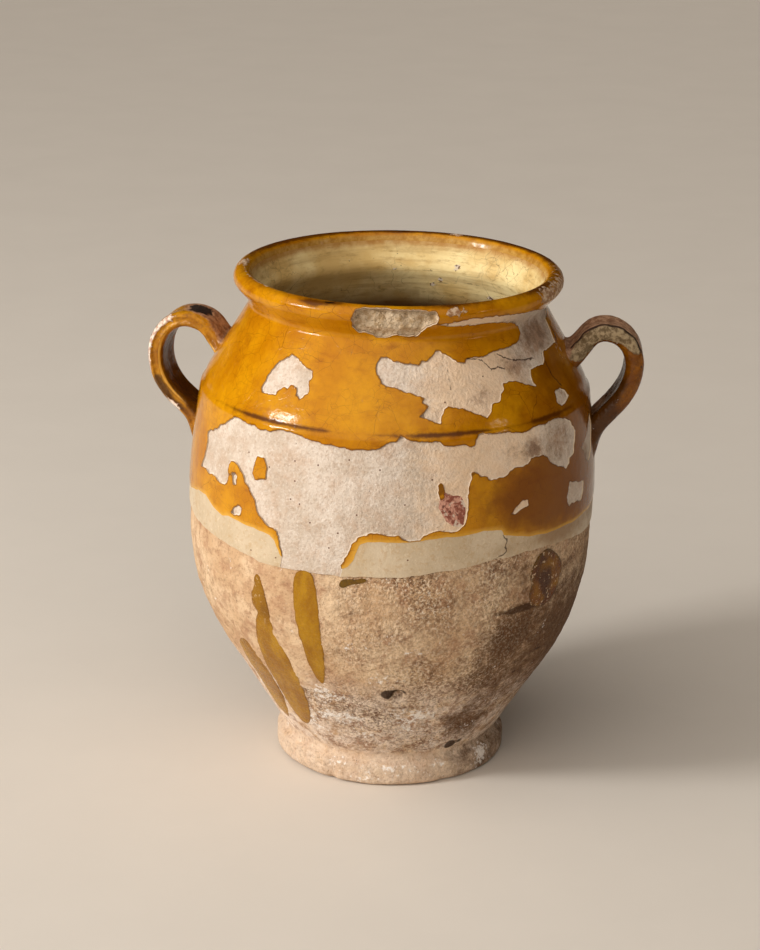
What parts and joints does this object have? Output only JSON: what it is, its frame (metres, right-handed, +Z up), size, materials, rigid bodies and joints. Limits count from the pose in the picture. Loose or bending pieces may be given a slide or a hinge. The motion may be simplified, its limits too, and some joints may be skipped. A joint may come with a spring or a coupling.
{
  "type": "confit pot",
  "caption": "Round-bellied earthenware confit pot with an open rolled mouth, two strap ear handles, a turned foot and a worn glaze over pale slip.",
  "frame": {"origin": "middle of the foot, on the flat underside that the pot stands on", "axes": "+Z up out of the mouth, the two handles to either side along X, the flaked and dripped side facing -Y"},
  "size_m": [0.2978, 0.2427, 0.3023],
  "materials": {
    "clay": "matt",
    "slip": "matt",
    "amber_glaze": "glossy",
    "handle_glaze": "glossy",
    "cream_glaze": "glossy",
    "run_glaze": "glossy"
  },
  "bodies": {
    "root": {"vessel": "clay", "handle_left": "handle_glaze", "handle_right": "handle_glaze", "slip_coat": "slip", "outer_glaze": "amber_glaze", "glaze_island": "amber_glaze", "inner_glaze": "cream_glaze", "run_long": "run_glaze", "run_short": "run_glaze", "run_side": "run_glaze", "dash": "run_glaze", "blob": "run_glaze"}
  },
  "joints": []
}
